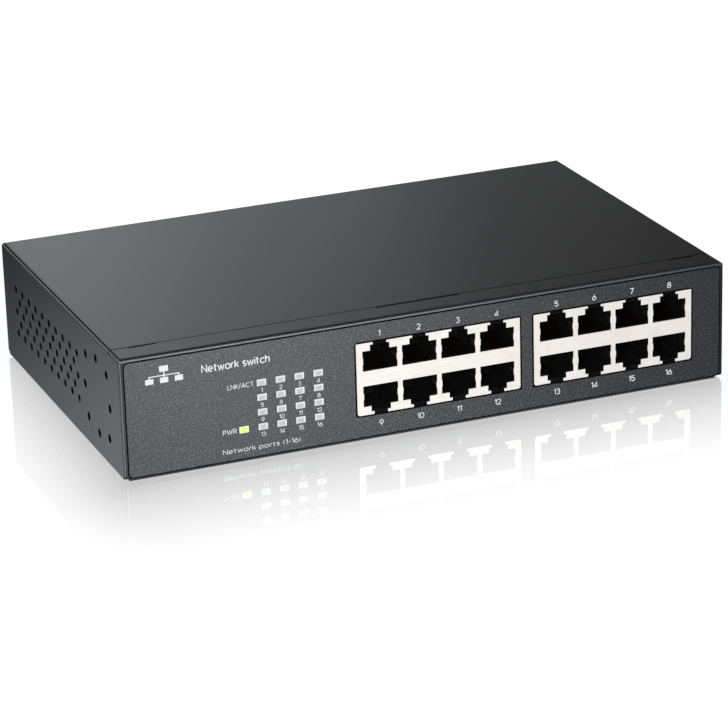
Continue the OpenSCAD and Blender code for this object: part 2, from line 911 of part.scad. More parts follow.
chassis_base();
top_cover();
front_overlay();
jack_shield_left();
jack_shield_right();
jack_housing_left();
jack_housing_right();
port_contacts(1);  // port_contacts_01
port_contacts(2);  // port_contacts_02
port_contacts(3);  // port_contacts_03
port_contacts(4);  // port_contacts_04
port_contacts(5);  // port_contacts_05
port_contacts(6);  // port_contacts_06
port_contacts(7);  // port_contacts_07
port_contacts(8);  // port_contacts_08
port_contacts(9);  // port_contacts_09
port_contacts(10);  // port_contacts_10
port_contacts(11);  // port_contacts_11
port_contacts(12);  // port_contacts_12
port_contacts(13);  // port_contacts_13
port_contacts(14);  // port_contacts_14
port_contacts(15);  // port_contacts_15
port_contacts(16);  // port_contacts_16
link_light_pipes();
power_light_pipe();
led_chips();
main_board();
board_standoffs();
board_screws();
switch_chip();
heatsink();
phy_chips();
magnetics();
flash_chip();
crystal();
board_capacitors();
dc_socket();
psu_board();
psu_insulator();
psu_transformer();
psu_bulk_capacitor();
psu_output_capacitors();
psu_choke();
psu_fuse();
psu_heatsink();
psu_ac_socket();
ac_inlet();
inlet_pins();
inlet_screws();
ac_wires();
ground_wire();
ring_terminal();
ground_nut();
dc_cable();
cover_screws();
rubber_feet();
rating_label();
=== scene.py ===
import json
import math

import bpy
import bmesh
from mathutils import Matrix, Vector


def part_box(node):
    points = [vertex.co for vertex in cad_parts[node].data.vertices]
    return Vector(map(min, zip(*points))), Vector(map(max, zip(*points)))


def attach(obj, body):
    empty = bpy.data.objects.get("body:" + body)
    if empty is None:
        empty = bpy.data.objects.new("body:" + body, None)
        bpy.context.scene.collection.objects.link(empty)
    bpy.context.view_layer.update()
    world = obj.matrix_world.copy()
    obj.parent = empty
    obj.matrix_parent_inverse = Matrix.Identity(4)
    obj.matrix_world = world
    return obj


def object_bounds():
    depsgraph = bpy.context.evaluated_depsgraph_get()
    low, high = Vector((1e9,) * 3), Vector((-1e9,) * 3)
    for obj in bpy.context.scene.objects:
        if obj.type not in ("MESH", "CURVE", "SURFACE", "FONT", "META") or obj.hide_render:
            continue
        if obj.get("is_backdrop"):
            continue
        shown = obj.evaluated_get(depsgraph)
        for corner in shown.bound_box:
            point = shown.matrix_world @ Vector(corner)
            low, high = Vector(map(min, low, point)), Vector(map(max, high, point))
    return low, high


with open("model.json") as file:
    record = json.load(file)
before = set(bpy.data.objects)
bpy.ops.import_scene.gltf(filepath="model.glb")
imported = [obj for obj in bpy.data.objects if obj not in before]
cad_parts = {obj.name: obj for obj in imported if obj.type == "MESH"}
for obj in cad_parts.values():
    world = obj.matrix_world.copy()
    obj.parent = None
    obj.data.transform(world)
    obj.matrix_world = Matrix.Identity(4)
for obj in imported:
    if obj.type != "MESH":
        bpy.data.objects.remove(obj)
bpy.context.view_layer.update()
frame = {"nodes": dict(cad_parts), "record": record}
MM = 0.001
nodes = frame["nodes"]
scene = bpy.context.scene

# Where the front's print and lights go, in mm, heights above the case's underside
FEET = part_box("chassis_base")[0][2] / MM
PORT_PITCH = 13.97
BLOCKS = (2.4, 66.05)
LIGHT_SIZE = (3.2, 2.5)
LIGHT_X0, LIGHT_PITCH_X = -59.9, 6.55
LIGHT_Z0, LIGHT_PITCH_Z = 10.45, 5.1
POWER_X = -66.5


# ---------------------------------------------------------------- materials
def new_material(name):
    m = bpy.data.materials.new(name)
    m.use_nodes = True
    nt = m.node_tree
    nt.nodes.clear()
    out = nt.nodes.new("ShaderNodeOutputMaterial")
    bsdf = nt.nodes.new("ShaderNodeBsdfPrincipled")
    nt.links.new(bsdf.outputs["BSDF"], out.inputs["Surface"])
    coord = nt.nodes.new("ShaderNodeTexCoord")
    return m, nt, bsdf, coord.outputs["Object"]


def noise(nt, vector, size_mm, detail=2.0, rough=0.5, stretch=None):
    """Noise whose features are about size_mm across."""
    if stretch:
        mapping = nt.nodes.new("ShaderNodeMapping")
        mapping.inputs["Scale"].default_value = stretch
        nt.links.new(vector, mapping.inputs["Vector"])
        vector = mapping.outputs["Vector"]
    n = nt.nodes.new("ShaderNodeTexNoise")
    n.inputs["Scale"].default_value = 1.0 / (size_mm * MM)
    n.inputs["Detail"].default_value = detail
    n.inputs["Roughness"].default_value = rough
    nt.links.new(vector, n.inputs["Vector"])
    return n.outputs["Fac"]


def remap(nt, value, lo, hi, out_lo, out_hi):
    r = nt.nodes.new("ShaderNodeMapRange")
    r.inputs["From Min"].default_value = lo
    r.inputs["From Max"].default_value = hi
    r.inputs["To Min"].default_value = out_lo
    r.inputs["To Max"].default_value = out_hi
    nt.links.new(value, r.inputs["Value"])
    return r.outputs["Result"]


def blend_colors(nt, fac, a, b):
    mix = nt.nodes.new("ShaderNodeMix")
    mix.data_type = "RGBA"
    for socket, color in (("A", a), ("B", b)):
        inp = [s for s in mix.inputs if s.name == socket and s.type == "RGBA"][0]
        if isinstance(color, (tuple, list)):
            inp.default_value = (*color, 1.0)
        else:
            nt.links.new(color, inp)
    nt.links.new(fac, mix.inputs["Factor"])
    return [s for s in mix.outputs if s.type == "RGBA"][0]


def bump(nt, bsdf, height, depth_mm, strength=1.0):
    b = nt.nodes.new("ShaderNodeBump")
    b.inputs["Strength"].default_value = strength
    b.inputs["Distance"].default_value = depth_mm * MM
    nt.links.new(height, b.inputs["Height"])
    nt.links.new(b.outputs["Normal"], bsdf.inputs["Normal"])


def make(name, dark, light, rough=(0.4, 0.5), metal=0.0, spec=0.5, tint_mm=6.0,
         grain_mm=0.4, grain_depth=0.01, coat=0.0, stretch=None, edge=(0.35, 0.65)):
    """A surface with slow colour variation, a fine grain and uneven gloss."""
    m, nt, bsdf, p = new_material(name)
    slow = noise(nt, p, tint_mm, 3.0, 0.55, stretch)
    fine = noise(nt, p, grain_mm, 3.0, 0.6, stretch)
    color = blend_colors(nt, remap(nt, slow, edge[0], edge[1], 0.0, 1.0), dark, light)
    nt.links.new(color, bsdf.inputs["Base Color"])
    nt.links.new(remap(nt, fine, 0.3, 0.7, rough[0], rough[1]), bsdf.inputs["Roughness"])
    bsdf.inputs["Metallic"].default_value = metal
    bsdf.inputs["Specular IOR Level"].default_value = spec
    bsdf.inputs["Coat Weight"].default_value = coat
    bump(nt, bsdf, fine, grain_depth)
    return m


def case_paint():
    """Satin black powder coat: almost smooth, with a very fine orange peel."""
    m, nt, bsdf, p = new_material("case_paint")
    slow = noise(nt, p, 30, 2.0)
    peel = noise(nt, p, 0.55, 2.0, 0.45)
    grit = noise(nt, p, 0.18, 2.0, 0.6)
    color = blend_colors(nt, remap(nt, slow, 0.35, 0.65, 0.0, 1.0),
                         (0.0075, 0.0077, 0.0082), (0.0095, 0.0097, 0.0102))
    nt.links.new(color, bsdf.inputs["Base Color"])
    nt.links.new(remap(nt, grit, 0.3, 0.7, 0.38, 0.45), bsdf.inputs["Roughness"])
    bsdf.inputs["Specular IOR Level"].default_value = 0.5
    bump(nt, bsdf, peel, 0.006)
    return m


def film_print():
    """Dark grey textured film: a fine, sandy grain that catches the light."""
    m, nt, bsdf, p = new_material("film_print")
    grain = noise(nt, p, 0.5, 3.0, 0.65)
    sand = noise(nt, p, 0.2, 2.0, 0.6)
    cloud = noise(nt, p, 2.2, 3.0, 0.6)
    base = blend_colors(nt, remap(nt, cloud, 0.35, 0.65, 0.0, 1.0),
                        (0.034, 0.0347, 0.036), (0.042, 0.0427, 0.044))
    color = blend_colors(nt, remap(nt, grain, 0.5, 0.68, 0.0, 1.0),
                         base, (0.15, 0.153, 0.158))
    nt.links.new(color, bsdf.inputs["Base Color"])
    nt.links.new(remap(nt, sand, 0.3, 0.7, 0.42, 0.56), bsdf.inputs["Roughness"])
    bsdf.inputs["Specular IOR Level"].default_value = 0.4
    height = nt.nodes.new("ShaderNodeMath")
    height.operation = "ADD"
    nt.links.new(grain, height.inputs[0])
    nt.links.new(remap(nt, sand, 0.3, 0.7, 0.0, 0.25), height.inputs[1])
    bump(nt, bsdf, height.outputs["Value"], 0.09)
    return m


def shield_plate():
    """Matt tin plate, warm white, with rolling lines and dull patches."""
    m, nt, bsdf, p = new_material("shield_plate")
    cloud = noise(nt, p, 5.0, 3.0, 0.6)
    lines = noise(nt, p, 0.5, 2.0, 0.6, (0.06, 1.0, 1.0))
    color = blend_colors(nt, remap(nt, cloud, 0.3, 0.7, 0.0, 1.0),
                         (0.71, 0.68, 0.635), (0.77, 0.74, 0.695))
    nt.links.new(color, bsdf.inputs["Base Color"])
    nt.links.new(remap(nt, lines, 0.3, 0.7, 0.26, 0.4), bsdf.inputs["Roughness"])
    bsdf.inputs["Metallic"].default_value = 1.0
    bump(nt, bsdf, lines, 0.004)
    return m


def window_rim(nt, p, centre, pitch):
    """0 in the middle of each light window, 1 in a narrow band along its edge."""
    axes = nt.nodes.new("ShaderNodeSeparateXYZ")
    nt.links.new(p, axes.inputs[0])
    bands = []
    for axis, size, at, step in (("X", LIGHT_SIZE[0], centre[0], pitch[0]),
                                 ("Z", LIGHT_SIZE[1], centre[1], pitch[1])):
        shifted = nt.nodes.new("ShaderNodeMath")
        shifted.operation = "SUBTRACT"
        shifted.inputs[1].default_value = at * MM
        nt.links.new(axes.outputs[axis], shifted.inputs[0])
        wrapped = nt.nodes.new("ShaderNodeMath")
        wrapped.operation = "WRAP"
        wrapped.inputs[1].default_value = step * MM / 2
        wrapped.inputs[2].default_value = -step * MM / 2
        nt.links.new(shifted.outputs["Value"], wrapped.inputs[0])
        away = nt.nodes.new("ShaderNodeMath")
        away.operation = "ABSOLUTE"
        nt.links.new(wrapped.outputs["Value"], away.inputs[0])
        bands.append(remap(nt, away.outputs["Value"], (size / 2 - 0.62) * MM,
                           (size / 2 - 0.34) * MM, 0.0, 1.0))
    rim = nt.nodes.new("ShaderNodeMath")
    rim.operation = "MAXIMUM"
    for k, band in enumerate(bands):
        nt.links.new(band, rim.inputs[k])
    return rim.outputs["Value"]


def light_guide(name):
    """Milky light guide: a dull, mottled window inside a brighter rim, a painted highlight along
    each window's edge.
    """
    m, nt, bsdf, p = new_material(name)
    mottle = noise(nt, p, 0.5, 3.0, 0.65)
    middle = blend_colors(nt, remap(nt, mottle, 0.35, 0.65, 0.0, 1.0),
                          (0.46, 0.465, 0.475), (0.58, 0.585, 0.595))
    rim = window_rim(nt, p, (LIGHT_X0, FEET + LIGHT_Z0), (LIGHT_PITCH_X, LIGHT_PITCH_Z))
    # Painted highlight: each window's rim is lighter than its middle
    color = blend_colors(nt, rim, middle, (0.8, 0.805, 0.815))
    nt.links.new(color, bsdf.inputs["Base Color"])
    nt.links.new(remap(nt, mottle, 0.3, 0.7, 0.3, 0.45), bsdf.inputs["Roughness"])
    bump(nt, bsdf, mottle, 0.02)
    return m


def power_guide(name):
    """The lit light guide: yellow green in the middle, paler along its rim."""
    m, nt, bsdf, p = new_material(name)
    mottle = noise(nt, p, 0.5, 3.0, 0.65)
    nt.links.new(remap(nt, mottle, 0.3, 0.7, 0.3, 0.45), bsdf.inputs["Roughness"])
    bsdf.inputs["Base Color"].default_value = (0.12, 0.125, 0.1, 1.0)
    rim = window_rim(nt, p, (POWER_X, FEET + LIGHT_Z0), (20.0, 20.0))
    core = blend_colors(nt, remap(nt, mottle, 0.35, 0.65, 0.0, 1.0),
                        (0.58, 0.76, 0.05), (0.7, 0.86, 0.13))
    glow = blend_colors(nt, rim, core, (0.8, 0.88, 0.54))
    nt.links.new(glow, bsdf.inputs["Emission Color"])
    bsdf.inputs["Emission Strength"].default_value = 1.0
    bump(nt, bsdf, mottle, 0.02)
    return m


MATERIALS = {
    "case_paint": case_paint(),
    "film_print": film_print(),
    "shield_plate": shield_plate(),
    "light_guide": light_guide("light_guide"),
    "power_guide": power_guide("power_guide"),
    "jack_plastic": make("jack_plastic", (0.008, 0.008, 0.0084), (0.012, 0.012, 0.0126),
                         (0.4, 0.55), spec=0.15, grain_mm=0.3, grain_depth=0.01),
    "contact_gold": make("contact_gold", (0.42, 0.28, 0.09), (0.52, 0.36, 0.13),
                         (0.22, 0.34), metal=1.0, tint_mm=1.5, grain_mm=0.2, grain_depth=0.002),
    "led_white": make("led_white", (0.8, 0.78, 0.5), (0.85, 0.82, 0.6), (0.2, 0.3), tint_mm=0.6),
    "board_green": make("board_green", (0.01, 0.075, 0.03), (0.018, 0.12, 0.05),
                        (0.25, 0.4), tint_mm=4, grain_mm=0.8, grain_depth=0.02, coat=0.3),
    "zinc_steel": make("zinc_steel", (0.5, 0.5, 0.49), (0.66, 0.66, 0.64), (0.25, 0.4),
                       metal=1.0, tint_mm=2.0, grain_mm=0.3, grain_depth=0.004),
    "chip_black": make("chip_black", (0.014, 0.014, 0.015), (0.024, 0.024, 0.025),
                       (0.5, 0.65), tint_mm=3, grain_mm=0.15, grain_depth=0.01),
    "bare_aluminium": make("bare_aluminium", (0.6, 0.605, 0.61), (0.72, 0.725, 0.73),
                           (0.28, 0.42), metal=1.0, grain_mm=0.5, grain_depth=0.004,
                           stretch=(1.0, 0.08, 1.0)),
    "can_metal": make("can_metal", (0.66, 0.66, 0.67), (0.76, 0.76, 0.77), (0.2, 0.3),
                      metal=1.0, tint_mm=2, grain_mm=0.4, grain_depth=0.002),
    "capacitor_sleeve": make("capacitor_sleeve", (0.014, 0.02, 0.045), (0.022, 0.03, 0.062),
                             (0.2, 0.32), tint_mm=5, grain_mm=0.8, grain_depth=0.01, coat=0.3),
    "socket_ivory": make("socket_ivory", (0.7, 0.66, 0.55), (0.78, 0.74, 0.64), (0.4, 0.5)),
    "board_tan": make("board_tan", (0.3, 0.17, 0.06), (0.38, 0.22, 0.09), (0.35, 0.5),
                      tint_mm=3, grain_mm=0.7, grain_depth=0.02, stretch=(1.0, 0.3, 1.0)),
    "insulator_film": make("insulator_film", (0.05, 0.05, 0.05), (0.07, 0.07, 0.07),
                           (0.15, 0.25), grain_mm=2.0, grain_depth=0.02),
    "winding_tape": make("winding_tape", (0.62, 0.42, 0.05), (0.75, 0.53, 0.1), (0.2, 0.35),
                         tint_mm=2, grain_mm=1.0, grain_depth=0.03, stretch=(1.0, 1.0, 0.15)),
    "copper_winding": make("copper_winding", (0.45, 0.17, 0.06), (0.68, 0.3, 0.13), (0.2, 0.35),
                           metal=1.0, tint_mm=1.0, grain_mm=0.9, grain_depth=0.1,
                           stretch=(0.1, 1.0, 1.0)),
    "fuse_glass": make("fuse_glass", (0.6, 0.62, 0.62), (0.72, 0.74, 0.73), (0.08, 0.15),
                       coat=0.5),
    "inlet_plastic": make("inlet_plastic", (0.010, 0.010, 0.0105), (0.015, 0.015, 0.016),
                          (0.38, 0.5), grain_mm=0.35, grain_depth=0.012),
    "plated_brass": make("plated_brass", (0.66, 0.65, 0.6), (0.76, 0.75, 0.7), (0.18, 0.3),
                         metal=1.0, tint_mm=2.0, grain_mm=0.3, grain_depth=0.003),
    "wire_brown": make("wire_brown", (0.10, 0.04, 0.018), (0.13, 0.05, 0.025), (0.3, 0.4)),
    "wire_green": make("wire_green", (0.10, 0.25, 0.03), (0.14, 0.32, 0.04), (0.3, 0.4)),
    "wire_red": make("wire_red", (0.26, 0.015, 0.015), (0.32, 0.02, 0.02), (0.3, 0.4)),
    "black_screw": make("black_screw", (0.02, 0.02, 0.021), (0.035, 0.035, 0.037),
                        (0.25, 0.4), metal=0.6, tint_mm=1.5, grain_mm=0.25, grain_depth=0.01),
    "foot_rubber": make("foot_rubber", (0.012, 0.012, 0.012), (0.02, 0.02, 0.02), (0.65, 0.8),
                        spec=0.3, tint_mm=2, grain_mm=0.3, grain_depth=0.03),
    "label_blank": make("label_blank", (0.62, 0.62, 0.61), (0.68, 0.68, 0.67), (0.4, 0.5),
                        tint_mm=8, grain_mm=0.4, grain_depth=0.004),
}
for part in frame["record"]["subparts"]:
    mesh = nodes[part["node"]].data
    mesh.materials.clear()
    mesh.materials.append(MATERIALS[part["material_slot"]])

PRINT_INK = make("print_ink", (0.74, 0.745, 0.755), (0.84, 0.845, 0.85), (0.45, 0.55),
                 tint_mm=0.7, grain_mm=0.15, grain_depth=0.004)
# Near-black sheet: painted shade where the gaps round the film and the tin plates fall in shadow
PAINTED_GAP_SHADE = make("outline_shadow", (0.002, 0.002, 0.0022), (0.004, 0.004, 0.0043),
                   (0.7, 0.8), spec=0.05, tint_mm=2, grain_mm=0.3, grain_depth=0.005)


# ------------------------------------------------------------ printed front
film_low, film_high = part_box("front_overlay")
INK_Y = film_low[1] - 0.02 * MM


def add_piece(name, mesh, material, body):
    obj = bpy.data.objects.new(name, mesh)
    scene.collection.objects.link(obj)
    mesh.materials.clear()
    mesh.materials.append(material)
    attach(obj, body)
    return obj


def arc(cx, cy, rx, ry, start, end, steps=10):
    turns = [math.radians(start + (end - start) * k / steps) for k in range(steps + 1)]
    return [(cx + rx * math.cos(t), cy + ry * math.sin(t)) for t in turns]


def loop(cx, cy, rx, ry):
    """A closed oval: its last point isn't repeated."""
    return ("closed", arc(cx, cy, rx, ry, 90, 450, 24)[:-1])


BOWL = [(0, 0), (0, 1), (0.3, 1)] + arc(0.3, 0.72, 0.28, 0.28, 80, -80, 8) + [(0.3, 0.44), (0, 0.44)]
# Plain stroke letters, cap height 1: width, then the strokes
GLYPHS = {
    "0": (0.62, [loop(0.31, 0.5, 0.31, 0.5)]),
    "1": (0.24, [[(0, 0.84), (0.24, 1), (0.24, 0)]]),
    "2": (0.58, [arc(0.28, 0.71, 0.27, 0.29, 165, -35) + [(0.02, 0), (0.58, 0)]]),
    "3": (0.56, [arc(0.26, 0.75, 0.25, 0.25, 150, -90) + arc(0.26, 0.27, 0.29, 0.27, 80, -150)]),
    "4": (0.62, [[(0.62, 0.24), (0, 0.24), (0.46, 1), (0.46, 0)]]),
    "5": (0.56, [[(0.52, 1), (0.09, 1), (0.05, 0.56)] + arc(0.27, 0.33, 0.29, 0.33, 125, -150)]),
    "6": (0.6, [loop(0.3, 0.31, 0.3, 0.31), [(0.04, 0.44), (0.4, 1)]]),
    "7": (0.56, [[(0, 1), (0.56, 1), (0.18, 0)]]),
    "8": (0.58, [loop(0.29, 0.76, 0.23, 0.24), loop(0.29, 0.27, 0.29, 0.27)]),
    "9": (0.6, [loop(0.3, 0.69, 0.3, 0.31), [(0.56, 0.56), (0.2, 0)]]),
    "A": (0.76, [[(0, 0), (0.38, 1), (0.76, 0)], [(0.13, 0.3), (0.63, 0.3)]]),
    "C": (0.8, [arc(0.48, 0.5, 0.48, 0.5, 48, 312, 16)]),
    "K": (0.6, [[(0, 0), (0, 1)], [(0.56, 1), (0, 0.38)], [(0.2, 0.6), (0.6, 0)]]),
    "L": (0.5, [[(0, 1), (0, 0), (0.5, 0)]]),
    "N": (0.68, [[(0, 0), (0, 1), (0.68, 0), (0.68, 1)]]),
    "P": (0.58, [BOWL]),
    "R": (0.6, [BOWL, [(0.3, 0.44), (0.6, 0)]]),
    "T": (0.64, [[(0, 1), (0.64, 1)], [(0.32, 1), (0.32, 0)]]),
    "W": (1.0, [[(0, 1), (0.27, 0), (0.5, 0.9), (0.73, 0), (1.0, 1)]]),
    "c": (0.56, [arc(0.34, 0.35, 0.34, 0.35, 48, 312, 14)]),
    "e": (0.62, [[(0.03, 0.36), (0.6, 0.36)] + arc(0.31, 0.35, 0.3, 0.35, 8, 318, 16)]),
    "h": (0.5, [[(0, 0), (0, 1.02)], arc(0.25, 0.42, 0.25, 0.28, 170, 0) + [(0.5, 0)]]),
    "i": (0.0, [[(0, 0), (0, 0.7)], [(0, 0.87), (0, 1.0)]]),
    "k": (0.48, [[(0, 0), (0, 1.02)], [(0.44, 0.7), (0, 0.26)], [(0.17, 0.43), (0.48, 0)]]),
    "o": (0.64, [loop(0.32, 0.35, 0.32, 0.35)]),
    "p": (0.63, [[(0, -0.28), (0, 0.7)], loop(0.31, 0.35, 0.31, 0.35)]),
    "r": (0.32, [[(0, 0), (0, 0.7)], arc(0.26, 0.42, 0.26, 0.27, 175, 75)]),
    "s": (0.46, [arc(0.24, 0.52, 0.21, 0.18, 40, 250) + arc(0.23, 0.18, 0.23, 0.18, 75, -140)]),
    "t": (0.38, [[(0.15, 0.95), (0.15, 0.16)] + arc(0.3, 0.16, 0.15, 0.16, 190, 275, 5),
                 [(0, 0.68), (0.37, 0.68)]]),
    "w": (0.84, [[(0, 0.7), (0.22, 0), (0.42, 0.62), (0.62, 0), (0.84, 0.7)]]),
    "/": (0.42, [[(0, -0.1), (0.42, 1.1)]]),
    "-": (0.34, [[(0, 0.42), (0.34, 0.42)]]),
    "(": (0.18, [arc(0.5, 0.46, 0.46, 0.72, 140, 220)]),
    ")": (0.18, [arc(-0.32, 0.46, 0.46, 0.72, 40, -40)]),
    " ": (0.22, []),
}


class Printer:
    """Collects flat print on the front into one mesh."""

    def __init__(self):
        self.bm = bmesh.new()
        self.layer = 0

    def stroke(self, points, width, closed):
        """A flat ribbon along the points, with mitred bends, all in mm."""
        pts = [Vector(q) for q in points]
        count = len(pts)
        # Strokes that cross lie on different layers, 2 microns apart
        self.layer = (self.layer + 1) % 3
        depth = INK_Y - self.layer * 0.002 * MM
        sides = []
        for i, here in enumerate(pts):
            before = pts[i - 1] if closed or i > 0 else None
            after = pts[(i + 1) % count] if closed or i < count - 1 else None
            normals = []
            for a, b in ((before, here), (here, after)):
                if a is not None and b is not None:
                    d = (b - a).normalized()
                    normals.append(Vector((-d.y, d.x)))
            mitre = sum(normals, Vector((0, 0))).normalized()
            reach = width / 2 / max(mitre.dot(normals[0]), 0.4)
            sides.append([self.bm.verts.new((q.x * MM, depth, q.y * MM))
                          for q in (here + mitre * reach, here - mitre * reach)])
        for i in range(count if closed else count - 1):
            a, b = sides[i], sides[(i + 1) % count]
            self.bm.faces.new((a[0], a[1], b[1], b[0]))

    def text(self, words, x, z, height, width=None, align="CENTER", weight=0.14, wide=1.2):
        """Words at x, z (mm above the case's underside), squeezed to a width if one is given."""
        gap = 0.2
        full = sum(GLYPHS[c][0] + gap for c in words) - gap
        squeeze = (width - weight * height) / (full * height) if width else wide
        pen = {"CENTER": -full / 2, "RIGHT": -full, "LEFT": 0.0}[align]
        for c in words:
            advance, strokes = GLYPHS[c]
            for points in strokes:
                closed = points[0] == "closed"
                points = points[1] if closed else points
                self.stroke([(x + (pen + u) * height * squeeze,
                              FEET + z + (v - 0.5) * height) for u, v in points],
                            weight * height, closed)
            pen += advance + gap

    def bar(self, x0, z0, x1, z1):
        corners = [(x0, z0), (x1, z0), (x1, z1), (x0, z1)]
        self.bm.faces.new([self.bm.verts.new((x * MM, INK_Y, (FEET + z) * MM))
                           for x, z in corners])

    def done(self, name, material):
        mesh = bpy.data.meshes.new(name)
        self.bm.to_mesh(mesh)
        self.bm.free()
        return add_piece(name, mesh, material, "case")


ink = Printer()
for n in range(16):
    column = n % 8
    x = BLOCKS[column // 4] + (column % 4 - 1.5) * PORT_PITCH
    ink.text(str(n + 1), x, 36.15 if n < 8 else 4.85, 1.8)
    lx = LIGHT_X0 + (n % 4) * LIGHT_PITCH_X
    lz = LIGHT_Z0 + (3 - n // 4) * LIGHT_PITCH_Z
    ink.text(str(n + 1), lx, lz - 2.5, 1.35, weight=0.14)
ink.text("LNK/ACT", -62.7, 25.9, 1.5, 9.0, "RIGHT", 0.13)
ink.text("PWR", -69.2, 10.6, 1.55, 4.8, "RIGHT", 0.14)
ink.text("Network ports (1-16)", -74.0, 3.9, 1.5, 27.0, "LEFT", 0.13)
ink.text("Network switch", -80.0, 33.8, 2.4, 23.4, "LEFT", 0.16)
# A plain tree of one box over three, for a network
tree_x, tree_z = -92.8, 34.7
ink.bar(tree_x - 1.5, tree_z + 0.5, tree_x + 1.5, tree_z + 2.5)
ink.bar(tree_x - 0.2, tree_z - 0.6, tree_x + 0.2, tree_z + 0.5)
ink.bar(tree_x - 5.2, tree_z - 0.95, tree_x + 5.2, tree_z - 0.6)
for k in (-1, 0, 1):
    ink.bar(tree_x + k * 5.0 - 0.2, tree_z - 1.5, tree_x + k * 5.0 + 0.2, tree_z - 0.95)
    ink.bar(tree_x + k * 5.0 - 1.4, tree_z - 3.3, tree_x + k * 5.0 + 1.4, tree_z - 1.5)
front_print = ink.done("front_print", PRINT_INK)


def rounded_loop(x0, z0, x1, z1, r, steps=8):
    points = []
    for cx, cz, start in ((x1 - r, z0 + r, -90), (x1 - r, z1 - r, 0),
                          (x0 + r, z1 - r, 90), (x0 + r, z0 + r, 180)):
        for k in range(steps + 1):
            a = math.radians(start + 90 * k / steps)
            points.append((cx + r * math.cos(a), cz + r * math.sin(a)))
    return points


def outline(name, low, high, corner, rings):
    """A near-black ring around a plate, painted shade for the shadow in the gap round it: rings of
    (inset in mm, y in metres).
    """
    bm = bmesh.new()
    x0, x1, z0, z1 = low[0] / MM, high[0] / MM, low[2] / MM, high[2] / MM
    loops = []
    for inset, y in rings:
        points = rounded_loop(x0 + inset, z0 + inset, x1 - inset, z1 - inset, corner - inset)
        loops.append([bm.verts.new((x * MM, y, z * MM)) for x, z in points])
    count = len(loops[0])
    for a, b in zip(loops, loops[1:]):
        for i in range(count):
            j = (i + 1) % count
            bm.faces.new((a[i], a[j], b[j], b[i]))
    mesh = bpy.data.meshes.new(name)
    bm.to_mesh(mesh)
    bm.free()
    return add_piece(name, mesh, PAINTED_GAP_SHADE, "case")


# Painted shade: near-black rings along the film's edge and round the tin plates stand in for the
# gaps' shadows
film_face = film_low[1] - 0.01 * MM
outline("film_gap_shade", film_low, film_high, 1.7,
        ((-0.12, film_low[1] + 0.13 * MM), (-0.02, film_face), (0.32, film_face)))
for side in ("left", "right"):
    low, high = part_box("jack_shield_" + side)
    outline("shield_gap_shade_" + side, low, high, 0.3, ((-0.6, film_face), (-0.02, film_face)))


def flange_coat():
    """The powder coat on the flat top of the front panel's return flange."""
    panel_mesh = nodes["chassis_base"].data
    top = max(v.co.z for v in panel_mesh.vertices)
    bm = bmesh.new()
    for face in panel_mesh.polygons:
        corners = [panel_mesh.vertices[i].co for i in face.vertices]
        if min(c.z for c in corners) > top - 0.001 * MM:
            bm.faces.new([bm.verts.new((c.x, c.y, c.z + 0.01 * MM)) for c in corners])
    bmesh.ops.remove_doubles(bm, verts=bm.verts, dist=0.0001 * MM)
    mesh = bpy.data.meshes.new("flange_coat")
    bm.to_mesh(mesh)
    bm.free()
    return add_piece("flange_coat", mesh, MATERIALS["case_paint"], "case")


coat = flange_coat()


# -------------------------------------------------------------------- stage
def floor_material():
    """White floor with a painted contact shadow: black right under the case, with a mirror image
    that fades out.
    """
    m, nt, bsdf, p = new_material("floor")
    out = [n for n in nt.nodes if n.type == "OUTPUT_MATERIAL"][0]
    nt.nodes.remove(bsdf)
    half = Vector((105.6, 64.9, 0)) * MM
    absolute = nt.nodes.new("ShaderNodeVectorMath")
    absolute.operation = "ABSOLUTE"
    nt.links.new(p, absolute.inputs[0])
    minus = nt.nodes.new("ShaderNodeVectorMath")
    minus.operation = "SUBTRACT"
    minus.inputs[1].default_value = half
    nt.links.new(absolute.outputs["Vector"], minus.inputs[0])
    outside = nt.nodes.new("ShaderNodeVectorMath")
    outside.operation = "MAXIMUM"
    outside.inputs[1].default_value = (0, 0, 0)
    nt.links.new(minus.outputs["Vector"], outside.inputs[0])
    # It fades sooner off the short sides
    squeeze = nt.nodes.new("ShaderNodeVectorMath")
    squeeze.operation = "MULTIPLY"
    squeeze.inputs[1].default_value = (1.8, 1, 0)
    nt.links.new(outside.outputs["Vector"], squeeze.inputs[0])
    length = nt.nodes.new("ShaderNodeVectorMath")
    length.operation = "LENGTH"
    nt.links.new(squeeze.outputs["Vector"], length.inputs[0])
    away = length.outputs["Value"]
    ramp = remap(nt, away, 0.0, 95 * MM, 0.71, 0.0)
    fade = nt.nodes.new("ShaderNodeMath")
    fade.operation = "MULTIPLY"
    nt.links.new(ramp, fade.inputs[0])
    nt.links.new(ramp, fade.inputs[1])
    # Painted contact shadow: the glow is near black inside the case's footprint and full 0.4 mm
    # outside it
    white = nt.nodes.new("ShaderNodeEmission")
    nt.links.new(remap(nt, away, 0.0, 0.4 * MM, 0.02, 1.06), white.inputs["Strength"])
    gloss = nt.nodes.new("ShaderNodeBsdfGlossy")
    gloss.inputs["Roughness"].default_value = 0.02
    seen = nt.nodes.new("ShaderNodeLightPath")
    mirror = nt.nodes.new("ShaderNodeMath")
    mirror.operation = "MULTIPLY"
    nt.links.new(fade.outputs["Value"], mirror.inputs[0])
    nt.links.new(seen.outputs["Is Camera Ray"], mirror.inputs[1])
    mix = nt.nodes.new("ShaderNodeMixShader")
    nt.links.new(mirror.outputs["Value"], mix.inputs["Fac"])
    nt.links.new(white.outputs["Emission"], mix.inputs[1])
    nt.links.new(gloss.outputs["BSDF"], mix.inputs[2])
    back = nt.nodes.new("ShaderNodeNewGeometry")
    clear = nt.nodes.new("ShaderNodeBsdfTransparent")
    sides = nt.nodes.new("ShaderNodeMixShader")
    nt.links.new(back.outputs["Backfacing"], sides.inputs["Fac"])
    nt.links.new(mix.outputs["Shader"], sides.inputs[1])
    nt.links.new(clear.outputs["BSDF"], sides.inputs[2])
    nt.links.new(sides.outputs["Shader"], out.inputs["Surface"])
    return m


